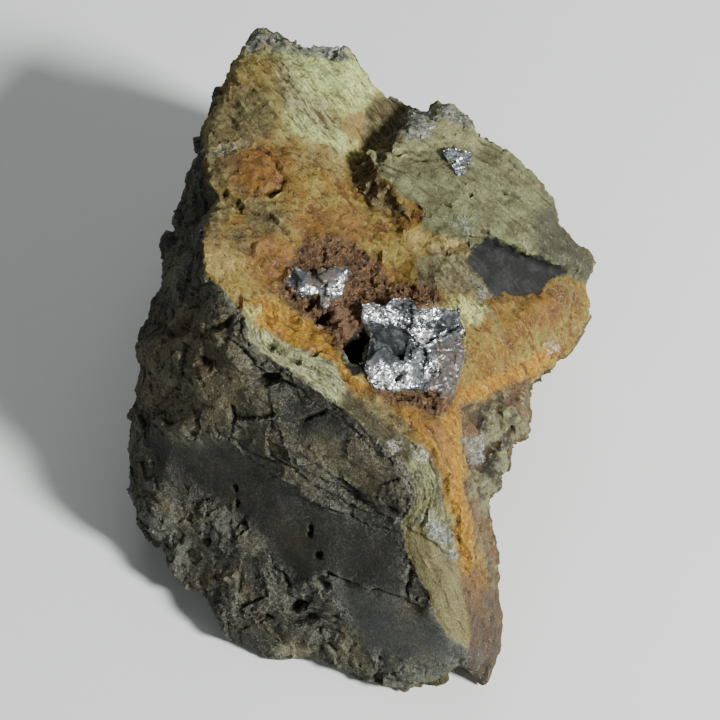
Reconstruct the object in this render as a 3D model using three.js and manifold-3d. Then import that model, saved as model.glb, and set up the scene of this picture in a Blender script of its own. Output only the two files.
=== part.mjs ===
// Galena in its matrix: a broken hand specimen of dark slate that carries an iron-stained vein, and
// the galena that grew in the vein. Millimetres, +Z up, resting on its flat underside at z = 0.
import * as THREE from "three";
import { ConvexHull } from "three/addons/math/ConvexHull.js";
import { ImprovedNoise } from "three/addons/math/ImprovedNoise.js";
import { TessellateModifier } from "three/addons/modifiers/TessellateModifier.js";
import { mergeVertices } from "three/addons/utils/BufferGeometryUtils.js";
import Module from "manifold-3d";

// The photograph's view of the stone. A corner of the stone is [pixels across, pixels down, height in mm].
const PHOTO_MIDDLE = 360; // pixels, both ways
const PIXEL_SIZE = 0.165; // mm of stone per pixel at the aim point: the stone is about 104 mm front to back
const EYE_DISTANCE = 360; // mm from the aim point
const EYE_ELEVATION = THREE.MathUtils.degToRad(58);
const AIM = new THREE.Vector3(2.5, -5, 30);

// The surface between the corners.
const EDGE_LENGTH = 5.4; // longest facet edge
const TESSELLATE_ROUNDS = 24;
const MERGE_DISTANCE = 0.001; // mm
const RELIEF = [
  // [height, wavelength] in mm of each layer of bumps, at roughness 1
  [1.5, 15],
  [1.0, 6.5],
];
const OUTLINE_ROUGHNESS = 0.3;
const BALL_WAVES = 1.3; // bumps per radius of a knob or a pit
const BALL_UNEVENNESS = 0.45; // share of its radius

// The hidden sides: how far the foot leans away from the eye, per mm of height, and how it narrows.
const LEAN_FRONT = 0.68;
const LEAN_BACK = 0.12;
const LEAN_ROWS = [110, 300]; // pixel rows where the lean changes from back to front
const FOOT_INSET = 0.07; // share of the width
const BACK_BULGE = 3.5; // mm, half way down the back
const FOOT_DEPTH = 1.5; // mm below the rest plane, cut off flat
const GROUND = [400, 400, 40]; // mm, the block that cuts the underside flat
const FOOT_ROWS = [420, 560]; // pixel rows where the rings change from rounded to the outline's own corners
const ROUNDING = 0.6; // share of the way to the middle of the two neighbours, each round
const FOOT_ROUNDS = 5;
const WAIST_ROUNDS = 2;
const FOOT_ROUGHNESS = 0.6;
const WAIST_ROUGHNESS = 1.4;
const GALENA_GAP = 0.3; // mm between the galena and its pocket
const ROOT_DROP = 0.5; // mm from the lowest corner of a galena's rim down to its root

// Corners of the stone's outline as the photograph shows it, clockwise from the back tip.
const outline = [
  // back edge of the upper block
  [258, 29, 42], [285, 37, 43], [318, 48, 43], [342, 45, 43], [359, 62, 42], [385, 97, 40],
  [405, 101, 39.5],
  // back edge of the slab, behind the notch
  [421, 110, 39], [433, 109, 45], [451, 101, 46], [472, 117, 45.5], [481, 142, 45], [506, 149, 44.5],
  [533, 170, 43], [556, 200, 41], [560, 224, 39.5], [583, 250, 37], [594, 270, 35],
  // right side
  [585, 283, 34], [591, 305, 31.5], [584, 328, 30], [571, 357, 28], [547, 372, 28.5], [526, 385, 30.5],
  [528, 404, 29.5], [524, 430, 28], [508, 445, 28.5], [506, 464, 27], [498, 484, 26.5], [489, 500, 28],
  // toe
  [492, 530, 26], [499, 572, 20], [502, 626, 13], [497, 668, 5], [487, 689, 1], [475, 679, 3],
  [464, 668, 8],
  // foot of the slate
  [447, 678, 7], [405, 685, 4], [352, 674, 2.5], [319, 662, 2.5], [277, 660, 1.5], [252, 651, 2.5],
  [229, 637, 3.5], [211, 604, 6], [167, 574, 6.5], [155, 544, 9],
  // left side
  [139, 520, 11], [128, 494, 12], [129, 452, 16], [138, 388, 25], [138, 349, 30], [148, 309, 34],
  [160, 285, 36], [162, 240, 39], [177, 228, 40], [188, 202, 41], [187, 165, 42], [200, 152, 43],
  [201, 129, 44], [218, 95, 44], [234, 57, 43], [245, 40, 42.5],
];

// Corners inside the outline, by feature, with how rough the surface is there.
const features = {
  crest: {
    roughness: 0.45,
    corners: [
      [238, 66, 46], [222, 98, 47], [211, 122, 48], [207, 155, 49.5], [211, 182, 50], [221, 196, 49.5],
      [211, 219, 52], [205, 247, 53.5], [206, 270, 53.5], [222, 290, 53], [243, 314, 52],
      [254, 342, 50.5], [270, 357, 49.5], [294, 371, 49], [319, 388, 48.3], [342, 406, 47.2],
      [364, 424, 46], [386, 443, 44.5], [402, 468, 42], [411, 492, 39], [402, 520, 34], [404, 545, 30],
      [424, 580, 26], [434, 614, 21.5], [452, 640, 17.5], [467, 658, 13],
    ],
  },
  leftWall: {
    roughness: 1.1,
    corners: [[196, 180, 44], [195, 215, 44], [180, 262, 42], [172, 300, 39], [200, 250, 48], [160, 330, 34]],
  },
  slateEdge: {
    roughness: 0.8,
    corners: [
      [190, 291, 47.5], [186, 309, 44.5], [156, 345, 38], [153, 378, 33], [148, 405, 28.5],
      [150, 430, 26], [148, 460, 20.5], [140, 492, 15.5], [156, 508, 16.5],
    ],
  },
  slateShoulder: {
    roughness: 0.9,
    corners: [
      [215, 330, 49], [235, 370, 45.5], [200, 390, 39], [185, 425, 33.5], [226, 437, 34], [262, 420, 40],
      [290, 477, 32.8], [300, 440, 39.5], [345, 515, 31], [350, 460, 40],
    ],
  },
  slatePlane: {
    roughness: 0.25,
    corners: [
      [170, 448, 25.5], [222, 450, 30.2], [286, 490, 29.6], [341, 527, 28], [392, 536, 30.2],
      [205, 492, 20], [270, 535, 20.4], [325, 572, 20.4], [380, 590, 22], [426, 617, 19.8],
      [345, 590, 18.2], [395, 612, 18.8], [432, 646, 15], [370, 640, 10.5], [410, 664, 9],
    ],
  },
  slateFoot: {
    roughness: 1.2,
    corners: [
      [180, 520, 15.5], [190, 555, 11], [235, 545, 17.5], [230, 590, 10.5], [290, 580, 16], [262, 620, 8],
      [300, 628, 9.5], [335, 632, 9.5], [300, 648, 5], [350, 660, 5.5],
    ],
  },
  upperBlock: {
    roughness: 0.5,
    corners: [
      [270, 60, 45.5], [312, 75, 45.5], [343, 85, 44.5], [252, 110, 48], [298, 120, 47.5],
      [340, 122, 45.5], [365, 110, 43], [240, 158, 50], [288, 162, 49], [330, 162, 46.8],
      [248, 205, 50.3], [292, 205, 49.5], [336, 205, 47.5], [260, 192, 50.8], [276, 197, 49],
    ],
  },
  slabWallFoot: {
    roughness: 0.5,
    corners: [
      [402, 130, 40.5], [381, 144, 42], [358, 154, 43.3], [354, 182, 44], [371, 206, 44.6],
      [389, 209, 45], [404, 213, 45.5], [417, 224, 45.6],
    ],
  },
  slabRim: {
    roughness: 0.3,
    corners: [
      [413, 115, 45.5], [408, 133, 47.5], [391, 146, 48.5], [370, 154, 49], [376, 169, 49],
      [391, 187, 48.6], [403, 199, 48.2], [423, 204, 47.8], [424, 217, 47],
    ],
  },
  slabTop: {
    roughness: 0.4,
    corners: [
      [440, 128, 47.5], [470, 150, 47], [440, 170, 48], [482, 185, 46.5], [522, 200, 44],
      [450, 205, 47.6], [492, 218, 46], [540, 232, 42.4], [572, 257, 38.8], [446, 234, 46.2],
    ],
  },
  facetLedge: {
    roughness: 0.2,
    corners: [[472, 237, 46], [500, 238, 45.2], [526, 251, 43.2], [552, 260, 41], [577, 266, 38.2]],
  },
  facet: {
    roughness: 0,
    corners: [
      [470, 247, 43.6], [498, 247, 42.6], [523, 259, 40.4], [548, 268, 38.2], [566, 273, 36.7],
      [466, 262, 43], [478, 285, 41.2], [495, 296, 39.8], [520, 299, 38], [547, 292, 36.9],
      [505, 272, 40.8],
    ],
  },
  veinSlope: {
    roughness: 0.6,
    corners: [
      [450, 258, 45], [440, 285, 44], [472, 300, 42.6], [498, 306, 40.8], [530, 308, 38.4],
      [566, 296, 35.2], [540, 335, 35], [505, 345, 38], [480, 350, 40.5], [560, 340, 32],
      [520, 368, 33.5], [486, 385, 38.5], [465, 402, 41], [510, 325, 38.6],
    ],
  },
  veinFloor: {
    roughness: 1,
    corners: [
      [395, 240, 45.8], [360, 240, 46.6], [402, 268, 44.6], [372, 280, 44.2], [350, 308, 45],
      [330, 308, 46.4], [422, 285, 44], [300, 262, 47.2], [284, 290, 47.3], [302, 312, 46.6],
      [330, 338, 46.2], [410, 398, 44.4], [440, 402, 43.8], [345, 328, 46.4],
    ],
  },
  veinRim: {
    roughness: 0.5,
    corners: [
      [268, 296, 50], [246, 286, 51.6], [238, 258, 52], [262, 240, 51], [302, 235, 48.8],
      [262, 322, 50.4], [287, 340, 49.4], [312, 351, 48.8], [336, 361, 48], [352, 376, 47.2],
      [366, 392, 46.6], [386, 402, 45.8], [402, 414, 45],
    ],
  },
  veinRidge: {
    roughness: 0.35,
    corners: [
      [420, 440, 43.6], [432, 425, 44.2], [455, 425, 42.4], [440, 455, 41.8], [455, 475, 39],
      [466, 503, 34.5], [472, 540, 29], [477, 580, 23], [484, 620, 16.6], [489, 655, 10],
    ],
  },
  selvage: {
    roughness: 0.35,
    corners: [[428, 500, 37.6], [432, 540, 31.6], [447, 580, 26], [456, 615, 20], [472, 642, 14]],
  },
  rightFace: {
    roughness: 1.2,
    corners: [
      [484, 408, 37.4], [506, 398, 34.6], [514, 416, 33.2], [500, 424, 35.4], [478, 440, 37],
      [492, 444, 33.4], [476, 472, 34.6], [490, 466, 31.2], [486, 488, 30.4], [480, 515, 30.5],
    ],
  },
};

// Iron-stained knobs on the right flank: [corner, radius in mm].
const knobs = [
  [[510, 402, 31], 3],
  [[500, 412, 33.5], 2.6],
  [[507, 424, 30.5], 3.4],
  [[494, 441, 31.5], 2.6],
  [[489, 462, 30], 2.8],
  [[483, 482, 30], 2.4],
];

// Small pits: [corner, radii in mm].
const pits = [
  [[318, 322, 46.4], [1.3, 1.9, 3.0]],
  [[270, 197, 50.4], [1.6, 0.8, 2.0]],
  [[457, 671, 7], [2.4, 2.0, 2.4]],
];

// The open hole beside the main galena: its rim, and its depth in mm.
const hole = {
  rim: [
    [360, 331, 45], [372, 337, 45], [367, 359, 45.5], [364, 371, 46], [345, 363, 46], [339, 352, 45.5],
    [352, 347, 45.5],
  ],
  depth: 7,
};

// Turns of the galena's crystal axes in its three grains, in radians about x, y and z.
const grainTurns = [
  [0.1, -0.14, 0.35], [-0.16, 0.2, -0.2], [0.2, 0.1, 0.8],
];

// The galena: the outline of each body as the photograph shows it, the depth of its root in the vein, and
// its cleavage blocks: [middle of the top, width, length in mm, grain].
const galenas = {
  galena_mass: {
    rim: [
      [362, 305, 46.6], [376, 302, 46.4], [392, 300, 46.2], [408, 299, 46], [418, 306, 45.8],
      [444, 305, 45.6], [459, 308, 45.4], [460, 321, 45.2], [466, 335, 44.8], [464, 360, 44.6],
      [455, 386, 44.6], [443, 394, 44.8], [417, 389, 45.4], [386, 389, 46.4], [375, 389, 46.6],
      [363, 376, 46.8], [368, 348, 46.8], [371, 335, 46.8], [361, 324, 46.8],
    ],
    root: 6,
    blocks: [
      [[392, 338, 46.1], 9.5, 6.5, 0], [[374, 312, 47], 4.6, 4, 1], [[398, 307, 46.8], 5, 3.6, 2],
      [[433, 312, 46.6], 7, 4.2, 1], [[420, 331, 46.9], 3.2, 3.4, 2], [[449, 328, 45.6], 6.5, 5.5, 0],
      [[446, 356, 45.4], 7.5, 7, 2], [[419, 353, 46.3], 4.2, 4.4, 1], [[420, 373, 46.1], 7, 5.4, 0],
      [[384, 366, 47.1], 5.8, 5, 2], [[380, 383, 46.9], 4.4, 3.4, 1], [[446, 384, 45.2], 5.5, 4.4, 1],
      [[369, 354, 47], 3, 5, 0], [[404, 388, 46.2], 5, 3, 2],
    ],
  },
  galena_patch: {
    rim: [
      [284, 282, 49], [294, 266, 48.8], [310, 275, 48.6], [327, 267, 48.2], [350, 267, 47.8],
      [346, 281, 47.6], [342, 296, 47.6], [326, 308, 47.8], [319, 308, 48], [320, 294, 48.2],
      [305, 295, 48.6], [296, 292, 48.8],
    ],
    root: 4,
    blocks: [
      [[297, 279, 48.9], 4.4, 4.6, 0], [[313, 284, 48.4], 4.6, 4, 1], [[336, 275, 48.3], 5, 3.4, 2],
      [[337, 289, 48.5], 3.2, 3.2, 1], [[323, 300, 48.2], 1.7, 5, 2],
    ],
  },
  galena_grains: {
    rim: [
      [441, 150, 48.2], [452, 146, 48], [470, 149, 47.8], [472, 158, 47.6], [464, 174, 47.6],
      [457, 176, 47.8], [450, 164, 48],
    ],
    root: 3,
    blocks: [
      [[450, 153, 48.6], 2.8, 2.4, 0], [[464, 155, 48.2], 2.6, 2.6, 1], [[459, 168, 48.2], 2.4, 2.8, 2],
    ],
  },
};

// Finishes.
const slate = new THREE.MeshStandardMaterial({ color: 0x6b6046, roughness: 0.85, metalness: 0 });
const leadGrey = new THREE.MeshStandardMaterial({ color: 0x9a9da3, roughness: 0.3, metalness: 1 });

const wasm = await Module();
wasm.setup();
const noise = new ImprovedNoise();

// Where a corner read off the photograph lies: on its line of sight, at its height.
function seen([across, down, height]) {
  const forward = new THREE.Vector3(0, Math.cos(EYE_ELEVATION), -Math.sin(EYE_ELEVATION));
  const up = new THREE.Vector3(0, Math.sin(EYE_ELEVATION), Math.cos(EYE_ELEVATION));
  const eye = AIM.clone().addScaledVector(forward, -EYE_DISTANCE);
  const target = AIM.clone()
    .addScaledVector(up, (PHOTO_MIDDLE - down) * PIXEL_SIZE)
    .add(new THREE.Vector3((across - PHOTO_MIDDLE) * PIXEL_SIZE, 0, 0));
  return eye.lerp(target, (height - eye.z) / (target.z - eye.z));
}

// Triangles that join corners without slivers: the lower hull of the corners lifted onto a bowl.
function triangulate(corners) {
  const lifted = corners.map(([across, down]) => {
    const x = (across - PHOTO_MIDDLE) / PHOTO_MIDDLE;
    const y = (PHOTO_MIDDLE - down) / PHOTO_MIDDLE;
    return new THREE.Vector3(x, y, x * x + y * y);
  });
  const place = new Map(lifted.map((point, i) => [point, i]));
  return new ConvexHull()
    .setFromPoints(lifted)
    .faces.filter((face) => face.normal.z < 0)
    .map((face) => [2, 1, 0].map((k) => place.get(face.getEdge(k).head().point)));
}

// Whether a point of the photograph lies inside a ring of corners.
function inside([x, y], ring) {
  return ring.reduce((within, [x1, y1], i) => {
    const [x2, y2] = ring[(i + 1) % ring.length];
    const crosses = y1 > y !== y2 > y && x < x1 + ((x2 - x1) * (y - y1)) / (y2 - y1);
    return crosses ? !within : within;
  }, false);
}

// How far a corner of the outline is towards the front: 0 to 1 between two pixel rows.
function frontness([, down], rows) {
  return THREE.MathUtils.smoothstep(down, ...rows);
}

// The foot of the hidden side below a corner of the outline.
function footBelow(top, i) {
  const lean = THREE.MathUtils.lerp(LEAN_BACK, LEAN_FRONT, frontness(outline[i], LEAN_ROWS));
  return new THREE.Vector3(top.x * (1 - FOOT_INSET), top.y + lean * top.z, -FOOT_DEPTH);
}

// A ring of points with its corners rounded off, except at the front.
function rounded(ring, rounds) {
  let points = ring;
  for (let round = 0; round < rounds; round++) {
    points = points.map((point, i) => {
      const beside = points.at(i - 1).clone().lerp(points[(i + 1) % ring.length], 0.5);
      return point.clone().lerp(beside, ROUNDING * (1 - frontness(outline[i], FOOT_ROWS)));
    });
  }
  return points;
}

// The stone's facets before its surface is roughened: the seen side, the hidden sides and the foot.
function stoneShell() {
  const seenCorners = [...outline];
  const roughness = outline.map(() => OUTLINE_ROUGHNESS);
  for (const feature of Object.values(features)) {
    seenCorners.push(...feature.corners);
    roughness.push(...feature.corners.map(() => feature.roughness));
  }
  const points = seenCorners.map(seen);
  const facets = triangulate(seenCorners).filter((facet) => {
    const middle = [0, 1].map((k) => facet.reduce((sum, i) => sum + seenCorners[i][k], 0) / 3);
    return inside(middle, outline);
  });

  // Two more rings of points, rounded at the back, close the sides.
  const tops = points.slice(0, outline.length);
  const feet = rounded(tops.map(footBelow), FOOT_ROUNDS);
  const waists = tops.map((top, i) => {
    const bulge = new THREE.Vector3(0, BACK_BULGE * (1 - frontness(outline[i], LEAN_ROWS)), 0);
    return top.clone().lerp(feet[i], 0.5).add(bulge);
  });
  const waist = points.length;
  const foot = waist + outline.length;
  points.push(...rounded(waists, WAIST_ROUNDS), ...feet);
  roughness.push(...waists.map(() => WAIST_ROUGHNESS), ...feet.map(() => FOOT_ROUGHNESS));
  for (const [upper, lower] of [[0, waist], [waist, foot]]) {
    for (let i = 0; i < outline.length; i++) {
      const j = (i + 1) % outline.length;
      facets.push([upper + i, upper + j, lower + i], [upper + j, lower + j, lower + i]);
    }
  }
  const footRing = feet.map((point) => new THREE.Vector2(point.x, point.y));
  for (const [a, b, c] of THREE.ShapeUtils.triangulateShape(footRing, [])) {
    facets.push([foot + c, foot + b, foot + a]);
  }

  const order = facets.flat();
  const geometry = new THREE.BufferGeometry().setFromPoints(order.map((i) => points[i]));
  const rough = order.flatMap((i) => [roughness[i], 0]); // the first texture coordinate holds the roughness
  return geometry.setAttribute("uv", new THREE.Float32BufferAttribute(rough, 2));
}

// Splits the facets to one size and moves each corner along its normal by layered noise.
function roughen(shell) {
  const split = new TessellateModifier(EDGE_LENGTH, TESSELLATE_ROUNDS).modify(shell);
  const geometry = mergeVertices(split, MERGE_DISTANCE);
  geometry.computeVertexNormals();
  const { position, normal, uv } = geometry.attributes;
  const point = new THREE.Vector3();
  const outward = new THREE.Vector3();
  for (let i = 0; i < position.count; i++) {
    point.fromBufferAttribute(position, i);
    outward.fromBufferAttribute(normal, i);
    const bump = RELIEF.reduce((sum, [height, wave]) => {
      return sum + height * noise.noise(point.x / wave, point.y / wave, point.z / wave);
    }, 0);
    point.addScaledVector(outward, bump * uv.getX(i));
    position.setXYZ(i, ...point);
  }
  return geometry;
}

// A closed geometry as a solid that can be joined and cut.
function solid(geometry) {
  const bare = new THREE.BufferGeometry().setAttribute("position", geometry.attributes.position);
  const merged = mergeVertices(bare.setIndex(geometry.index), MERGE_DISTANCE);
  const vertProperties = merged.attributes.position.array;
  return new wasm.Manifold(new wasm.Mesh({ numProp: 3, vertProperties, triVerts: merged.index.array }));
}

// A solid as a geometry with flat facets.
function facetGeometry(body) {
  const { vertProperties, triVerts } = body.getMesh();
  const geometry = new THREE.BufferGeometry();
  geometry.setAttribute("position", new THREE.Float32BufferAttribute(vertProperties, 3));
  geometry.setIndex(new THREE.BufferAttribute(triVerts, 1));
  return geometry;
}

// A lump or a pit: an uneven ball of few facets, stretched to its radii.
function ball(corner, radii) {
  const middle = seen(corner);
  const sphere = new THREE.IcosahedronGeometry(1, 2).deleteAttribute("uv").deleteAttribute("normal");
  const geometry = mergeVertices(sphere, MERGE_DISTANCE);
  const { position } = geometry.attributes;
  const point = new THREE.Vector3();
  for (let i = 0; i < position.count; i++) {
    point.fromBufferAttribute(position, i);
    const at = point.clone().multiplyScalar(BALL_WAVES).add(middle);
    point.multiplyScalar(1 + BALL_UNEVENNESS * noise.noise(at.x, at.y, at.z));
    position.setXYZ(i, ...point);
  }
  return solid(geometry.scale(...radii).translate(...middle));
}

// A straight-sided block over a rim seen in the photograph, between two heights.
function rimBlock(rim, low, high, shift = [0, 0]) {
  const plan = rim.map(seen).map((corner) => new THREE.Vector2(corner.x, corner.y));
  const options = { depth: high - low, bevelEnabled: false };
  const geometry = new THREE.ExtrudeGeometry(new THREE.Shape(plan), options);
  return solid(geometry.translate(...shift, low));
}

// The pocket that a galena sits in: its block moved by the gap in every direction.
function pocket({ rim, root }) {
  const heights = rim.map((corner) => corner[2]);
  const low = Math.min(...heights) - root - GALENA_GAP;
  const high = 2 * Math.max(...heights);
  let body = rimBlock(rim, low, high);
  for (let turn = 0; turn < 8; turn++) {
    const angle = (turn * Math.PI) / 4;
    body = body.add(rimBlock(rim, low, high, [GALENA_GAP * Math.cos(angle), GALENA_GAP * Math.sin(angle)]));
  }
  return body;
}

// Galena broken along its cube cleavage: a root that fills the rim, with the blocks standing on it.
function galena({ rim, root, blocks }) {
  const low = Math.min(...rim.map((corner) => corner[2])) - root;
  const high = Math.max(...blocks.map(([top]) => top[2]));
  let body = rimBlock(rim, low, low + root - ROOT_DROP);
  for (const [top, width, length, grain] of blocks) {
    const [aboutX, aboutY, aboutZ] = grainTurns[grain];
    const block = new THREE.BoxGeometry(width, length, root).translate(0, 0, -root / 2);
    block.rotateX(aboutX).rotateY(aboutY).rotateZ(aboutZ).translate(...seen(top));
    body = body.add(solid(block));
  }
  return body.intersect(rimBlock(rim, low, 2 * high));
}

// The matrix: the roughened stone with its knobs, pits and galena pockets, cut flat underneath.
function matrix() {
  let body = solid(roughen(stoneShell()));
  for (const [corner, radius] of knobs) {
    body = body.add(ball(corner, [radius, radius, radius]));
  }
  for (const [corner, radii] of pits) {
    body = body.subtract(ball(corner, radii));
  }
  for (const shape of Object.values(galenas)) {
    body = body.subtract(pocket(shape));
  }
  const holeTop = Math.max(...hole.rim.map((corner) => corner[2]));
  body = body.subtract(rimBlock(hole.rim, holeTop - hole.depth, 2 * holeTop));
  const ground = new THREE.BoxGeometry(...GROUND).translate(0, 0, -GROUND[2] / 2);
  return body.subtract(solid(ground));
}

// A named piece of the specimen.
function piece(name, body, material) {
  const mesh = new THREE.Mesh(facetGeometry(body), material.clone());
  mesh.name = name;
  return mesh;
}

const specimen = new THREE.Group();
specimen.add(piece("matrix", matrix(), slate));
for (const [name, shape] of Object.entries(galenas)) {
  specimen.add(piece(name, galena(shape), leadGrey));
}

export default specimen;
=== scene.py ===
import math

import bmesh
import bpy
import numpy as np
from mathutils import Matrix, Vector, noise


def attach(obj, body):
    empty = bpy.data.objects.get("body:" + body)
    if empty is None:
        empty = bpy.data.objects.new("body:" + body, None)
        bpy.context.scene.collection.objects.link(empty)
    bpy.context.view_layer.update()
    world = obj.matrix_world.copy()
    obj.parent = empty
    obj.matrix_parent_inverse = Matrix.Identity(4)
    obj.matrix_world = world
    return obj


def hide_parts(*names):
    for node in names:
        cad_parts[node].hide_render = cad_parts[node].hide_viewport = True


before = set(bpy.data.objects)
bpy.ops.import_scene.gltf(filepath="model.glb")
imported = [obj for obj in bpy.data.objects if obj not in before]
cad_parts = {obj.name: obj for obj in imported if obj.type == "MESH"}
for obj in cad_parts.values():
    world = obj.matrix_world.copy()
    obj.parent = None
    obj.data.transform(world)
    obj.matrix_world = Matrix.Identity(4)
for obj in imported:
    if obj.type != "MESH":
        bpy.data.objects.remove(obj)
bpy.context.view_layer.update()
print("frame loaded")

mm = 0.001
farOff = 1e6  # pixels, further than anything on the photograph

# camera, where the photograph was taken from
photo = {
    "elevation": 58.0,  # degrees above the table
    "distance": 360 * mm,
    "aim": (2.5 * mm, -5.0 * mm, 30 * mm),
    "pixel": 0.165 * mm,  # stone per pixel at the aim point
    "middle": 360,  # pixels from the photograph's edges
    "sensor": 36.0,
}
tilt = math.radians(photo["elevation"])
lookRight = np.array((1.0, 0.0, 0.0))
lookUp = np.array((0.0, math.sin(tilt), math.cos(tilt)))
lookAlong = np.array((0.0, math.cos(tilt), -math.sin(tilt)))
eye = np.array(photo["aim"]) - lookAlong * photo["distance"]

camera = bpy.data.objects.new("camera", bpy.data.cameras.new("camera"))
bpy.context.scene.collection.objects.link(camera)
camera.location = eye
camera.rotation_euler = (math.pi / 2 - tilt, 0, 0)
camera.data.sensor_width = photo["sensor"]
camera.data.lens = photo["sensor"] * photo["distance"] / (2 * photo["middle"] * photo["pixel"])
camera.data.clip_start = 0.01
bpy.context.scene.camera = camera


def toPhoto(places):  # metres to pixels of the photograph
    away = places - eye
    scale = photo["distance"] / photo["pixel"] / (away @ lookAlong)
    across = photo["middle"] + (away @ lookRight) * scale
    down = photo["middle"] - (away @ lookUp) * scale
    return np.stack((across, down), axis=1)


def toSegment(spots, start, end):  # distance in pixels, and how far along
    run = end - start
    along = np.clip((spots - start) @ run / max(run @ run, 1e-9), 0, 1)
    return np.linalg.norm(spots - start - along[:, None] * run, axis=1), along


def insideRing(spots, ring):  # pixels inside a ring, less than 0 outside
    ring = np.array(ring, float)
    nearest = np.full(len(spots), farOff)
    within = np.zeros(len(spots), bool)
    for start, end in zip(ring, np.roll(ring, -1, axis=0)):
        nearest = np.minimum(nearest, toSegment(spots, start, end)[0])
        if start[1] != end[1]:
            crossing = start[0] + (spots[:, 1] - start[1]) * (end[0] - start[0]) / (end[1] - start[1])
            within ^= ((start[1] > spots[:, 1]) != (end[1] > spots[:, 1])) & (spots[:, 0] < crossing)
    return np.where(within, nearest, -nearest)


def insideRings(spots, rings):
    return np.max([insideRing(spots, ring) for ring in rings], axis=0)


def ease(values, low, high):  # 0 to 1 with soft ends
    t = np.clip((values - low) / (high - low), 0, 1)
    return t * t * (3 - 2 * t)


def terrace(heights, step, soft):  # flat steps with steep risers
    count = heights / step
    whole = np.floor(count)
    return step * (whole + ease(count - whole, 0.5 - soft, 0.5 + soft))


def lumpy(places, octaves=3, rough=1.0):
    return np.array([noise.fractal(p, rough, 2.0, octaves) for p in places.tolist()])


def cellChance(centre):  # -0.5 to 0.5 each way, one value for a whole cell
    return noise.cell_vector(centre * 37) - Vector((0.5, 0.5, 0.5))


def chipped(places, lean=0.8):  # a tilted flat chip to each cell
    heights = []
    for p in places.tolist():
        centre = noise.voronoi(p)[1][0]
        chance = cellChance(centre)
        heights.append((Vector(p) - centre).dot(chance) * 2 * lean + chance.x)
    return np.array(heights)


def combined(*columns):
    return np.stack(np.broadcast_arrays(*columns), axis=1)


def wavered(spots, millimetres, waver):  # pixels moved about, so that rings get ragged edges
    for size, reach in waver:
        spots = spots + reach * combined(lumpy(millimetres / size + 3), lumpy(millimetres / size + 60))
    return spots


def applied(piece):  # the mesh with its modifiers worked in
    made = bpy.data.meshes.new_from_object(piece.evaluated_get(bpy.context.evaluated_depsgraph_get()))
    before = piece.data
    piece.modifiers.clear()
    piece.data = made
    bpy.data.meshes.remove(before)


def denseCopy(name, nodes, voxel):  # even mesh over CAD solids, inner bubbles left out
    bm = bmesh.new()
    for node in nodes:
        bm.from_mesh(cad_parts[node].data)
    bmesh.ops.remove_doubles(bm, verts=bm.verts, dist=1e-6)
    solid = bpy.data.meshes.new(name)
    bm.to_mesh(solid)
    bm.free()
    piece = bpy.data.objects.new(name, solid)
    bpy.context.scene.collection.objects.link(piece)
    remesh = piece.modifiers.new("even", "REMESH")
    remesh.mode = "VOXEL"
    remesh.voxel_size = voxel
    applied(piece)
    return piece


def triangles(mesh):
    return sum(len(face.vertices) - 2 for face in mesh.polygons)


def thinned(piece, most):  # fewer faces where the surface is calm
    thin = piece.modifiers.new("thin", "DECIMATE")
    thin.ratio = min(1, most / triangles(piece.data))
    applied(piece)


def keepLargest(bm):  # drops every island but the biggest
    islands = []
    left = set(bm.verts)
    while left:
        first = left.pop()
        island = {first}
        edge = [first]
        while edge:
            for link in edge.pop().link_edges:
                for other in link.verts:
                    if other in left:
                        left.discard(other)
                        island.add(other)
                        edge.append(other)
        islands.append(island)
    islands.sort(key=len)
    for island in islands[:-1]:
        bmesh.ops.delete(bm, geom=list(island), context="VERTS")


def smoothed(piece, rounds):
    bm = bmesh.new()
    bm.from_mesh(piece.data)
    keepLargest(bm)
    axes = {"use_axis_x": True, "use_axis_y": True, "use_axis_z": True}
    for _ in range(rounds):
        bmesh.ops.smooth_vert(bm, verts=bm.verts, factor=0.5, **axes)
    bmesh.ops.recalc_face_normals(bm, faces=bm.faces)
    bm.to_mesh(piece.data)
    bm.free()


def readVectors(rows, name):
    values = np.empty(len(rows) * 3)
    rows.foreach_get(name, values)
    return values.reshape(-1, 3)


def readMesh(mesh):  # places and normals of its points
    return readVectors(mesh.vertices, "co"), readVectors(mesh.vertex_normals, "vector")


def writePlaces(mesh, places):
    mesh.vertices.foreach_set("co", places.ravel())
    mesh.update()


def writeMap(mesh, name, values):
    attribute = mesh.attributes.new(name, "FLOAT", "POINT")
    attribute.data.foreach_set("value", values.astype(np.float32))


def sharpness(mesh, rounds):  # above 0 on ridges, below 0 in hollows
    places, normals = readMesh(mesh)
    ends = np.empty(len(mesh.edges) * 2, np.int64)
    mesh.edges.foreach_get("vertices", ends)
    first, second = ends.reshape(-1, 2).T
    count = np.bincount(ends, minlength=len(places))[:, None]

    def around(values):
        total = np.zeros_like(values)
        np.add.at(total, first, values[second])
        np.add.at(total, second, values[first])
        return total / count

    mean = places
    for _ in range(rounds):
        mean = around(mean)
    return np.einsum("ij,ij->i", places - mean, normals) / mm


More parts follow.
